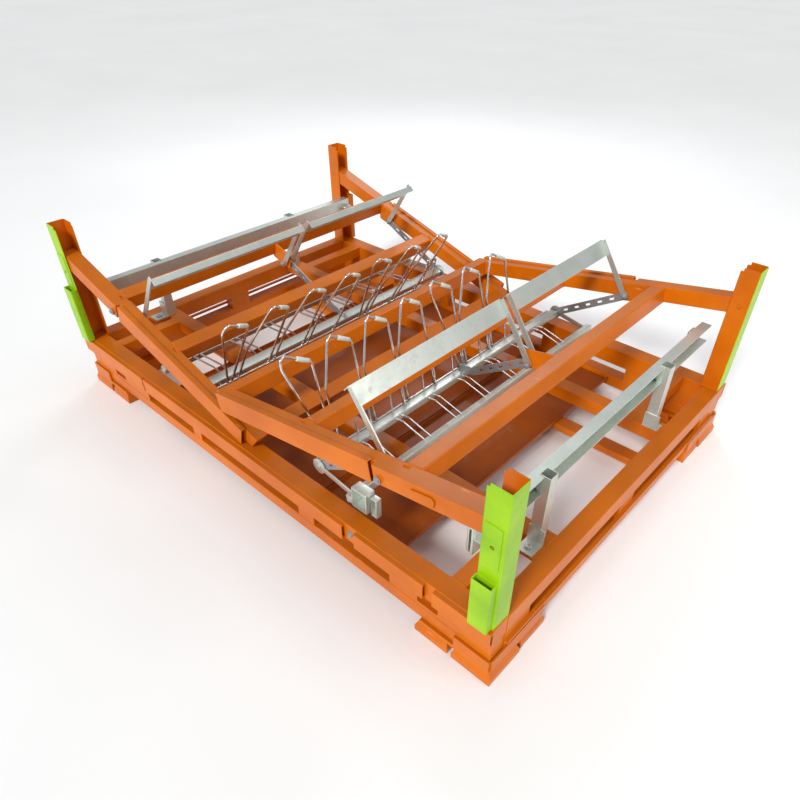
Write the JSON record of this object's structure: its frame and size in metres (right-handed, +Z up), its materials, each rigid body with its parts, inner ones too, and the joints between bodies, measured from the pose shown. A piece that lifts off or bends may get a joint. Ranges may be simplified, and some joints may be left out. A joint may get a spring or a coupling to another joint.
{
  "type": "folding steel transport rack",
  "caption": "Folding stackable steel transport rack, shown folded: low base on cup feet, corner posts, and two hinged end gates with swing bars and wire finger combs.",
  "frame": {"origin": "centre of the footprint, on the floor", "axes": "+X to the right along the long front side, +Y to the back, +Z up"},
  "size_m": [2.284, 1.6, 0.74],
  "materials": {
    "orange": "gloss powder coat",
    "brown_orange": "satin powder coat",
    "lime": "gloss paint",
    "zinc": "pale galvanised",
    "wire": "bright plated wire"
  },
  "bodies": {
    "base": {"front_rail": "orange", "back_rail": "orange", "right_end_rail": "orange", "left_end_rail": "orange", "front_right_foot": "orange", "front_left_foot": "orange", "back_right_foot": "orange", "back_left_foot": "orange", "front_right_post": "lime", "front_left_post": "lime", "back_right_post": "orange", "back_left_post": "orange", "front_deck_bar": "orange", "back_deck_bar": "orange", "front_floor_bar": "orange", "back_floor_bar": "orange", "left_floor_pan": "brown_orange", "right_floor_pan": "brown_orange", "right_end_support": "zinc", "left_end_support": "zinc"},
    "right_gate": {"right_front_arm": "orange", "right_back_arm": "orange", "right_front_side_rail": "orange", "right_back_side_rail": "orange", "right_post_beam": "orange", "right_middle_beam": "orange", "right_tip_beam": "orange", "right_front_strut": "zinc", "right_back_strut": "zinc", "right_middle_strut": "zinc", "right_comb_frame": "zinc"},
    "right_front_swing_bar": {"right_front_swing_bar": "zinc"},
    "right_back_swing_bar": {"right_back_swing_bar": "zinc"},
    "right_finger_1": {"right_finger_1": "wire"},
    "right_finger_2": {"right_finger_2": "wire"},
    "right_finger_3": {"right_finger_3": "wire"},
    "right_finger_4": {"right_finger_4": "wire"},
    "right_finger_5": {"right_finger_5": "wire"},
    "right_finger_6": {"right_finger_6": "wire"},
    "right_finger_7": {"right_finger_7": "wire"},
    "left_gate": {"left_front_arm": "orange", "left_back_arm": "orange", "left_front_side_rail": "orange", "left_back_side_rail": "orange", "left_post_beam": "orange", "left_middle_beam": "orange", "left_tip_beam": "orange", "left_front_strut": "zinc", "left_back_strut": "zinc", "left_middle_strut": "zinc", "left_comb_frame": "zinc"},
    "left_front_swing_bar": {"left_front_swing_bar": "zinc"},
    "left_back_swing_bar": {"left_back_swing_bar": "zinc"},
    "left_finger_1": {"left_finger_1": "wire"},
    "left_finger_2": {"left_finger_2": "wire"},
    "left_finger_3": {"left_finger_3": "wire"},
    "left_finger_4": {"left_finger_4": "wire"},
    "left_finger_5": {"left_finger_5": "wire"},
    "left_finger_6": {"left_finger_6": "wire"},
    "left_finger_7": {"left_finger_7": "wire"}
  },
  "joints": [
    {"name": "right_gate_fold", "type": "hinge", "parent": "base", "child": "right_gate", "pos_m": [1.088, 0, 0.6], "axis": [0, 1, 0], "range_deg": [0, 100.5]},
    {"name": "right_front_swing", "type": "hinge", "parent": "right_gate", "child": "right_front_swing_bar", "pos_m": [0.65968, 0, 0.49645], "axis": [0, 1, 0], "range_deg": [0, 60]},
    {"name": "right_back_swing", "type": "hinge", "parent": "right_gate", "child": "right_back_swing_bar", "pos_m": [0.65968, 0, 0.49645], "axis": [0, 1, 0], "range_deg": [0, 60]},
    {"name": "right_finger_1_turn", "type": "hinge", "parent": "right_gate", "child": "right_finger_1", "pos_m": [0.3207, -0.6, 0.30569], "axis": [0, -1, 0], "range_deg": [0, 45]},
    {"name": "right_finger_2_turn", "type": "hinge", "parent": "right_gate", "child": "right_finger_2", "pos_m": [0.3207, -0.4295, 0.30569], "axis": [0, -1, 0], "range_deg": [0, 45]},
    {"name": "right_finger_3_turn", "type": "hinge", "parent": "right_gate", "child": "right_finger_3", "pos_m": [0.3207, -0.259, 0.30569], "axis": [0, -1, 0], "range_deg": [0, 45]},
    {"name": "right_finger_4_turn", "type": "hinge", "parent": "right_gate", "child": "right_finger_4", "pos_m": [0.3207, -0.0885, 0.30569], "axis": [0, -1, 0], "range_deg": [0, 45]},
    {"name": "right_finger_5_turn", "type": "hinge", "parent": "right_gate", "child": "right_finger_5", "pos_m": [0.3207, 0.082, 0.30569], "axis": [0, -1, 0], "range_deg": [0, 45]},
    {"name": "right_finger_6_turn", "type": "hinge", "parent": "right_gate", "child": "right_finger_6", "pos_m": [0.3207, 0.2525, 0.30569], "axis": [0, -1, 0], "range_deg": [0, 45]},
    {"name": "right_finger_7_turn", "type": "hinge", "parent": "right_gate", "child": "right_finger_7", "pos_m": [0.3207, 0.423, 0.30569], "axis": [0, -1, 0], "range_deg": [0, 45]},
    {"name": "left_gate_fold", "type": "hinge", "parent": "base", "child": "left_gate", "pos_m": [-1.088, 0, 0.6], "axis": [0, -1, 0], "range_deg": [0, 95.5]},
    {"name": "left_front_swing", "type": "hinge", "parent": "left_gate", "child": "left_front_swing_bar", "pos_m": [-0.67217, 0, 0.45419], "axis": [0, -1, 0], "range_deg": [0, 60]},
    {"name": "left_back_swing", "type": "hinge", "parent": "left_gate", "child": "left_back_swing_bar", "pos_m": [-0.67217, 0, 0.45419], "axis": [0, -1, 0], "range_deg": [0, 60]},
    {"name": "left_finger_1_turn", "type": "hinge", "parent": "left_gate", "child": "left_finger_1", "pos_m": [-0.29575, -0.585, 0.28027], "axis": [0, 1, 0], "range_deg": [-45, 15]},
    {"name": "left_finger_2_turn", "type": "hinge", "parent": "left_gate", "child": "left_finger_2", "pos_m": [-0.29575, -0.4085, 0.28027], "axis": [0, 1, 0], "range_deg": [-45, 15]},
    {"name": "left_finger_3_turn", "type": "hinge", "parent": "left_gate", "child": "left_finger_3", "pos_m": [-0.29575, -0.232, 0.28027], "axis": [0, 1, 0], "range_deg": [-45, 15]},
    {"name": "left_finger_4_turn", "type": "hinge", "parent": "left_gate", "child": "left_finger_4", "pos_m": [-0.29575, -0.0555, 0.28027], "axis": [0, 1, 0], "range_deg": [-45, 15]},
    {"name": "left_finger_5_turn", "type": "hinge", "parent": "left_gate", "child": "left_finger_5", "pos_m": [-0.29575, 0.121, 0.28027], "axis": [0, 1, 0], "range_deg": [-45, 15]},
    {"name": "left_finger_6_turn", "type": "hinge", "parent": "left_gate", "child": "left_finger_6", "pos_m": [-0.29575, 0.2975, 0.28027], "axis": [0, 1, 0], "range_deg": [-45, 15]},
    {"name": "left_finger_7_turn", "type": "hinge", "parent": "left_gate", "child": "left_finger_7", "pos_m": [-0.29575, 0.474, 0.28027], "axis": [0, 1, 0], "range_deg": [-45, 15]}
  ],
  "couplings": [
    {"joint": "left_gate_fold", "follows": "right_gate_fold", "ratio": 0.95}
  ]
}
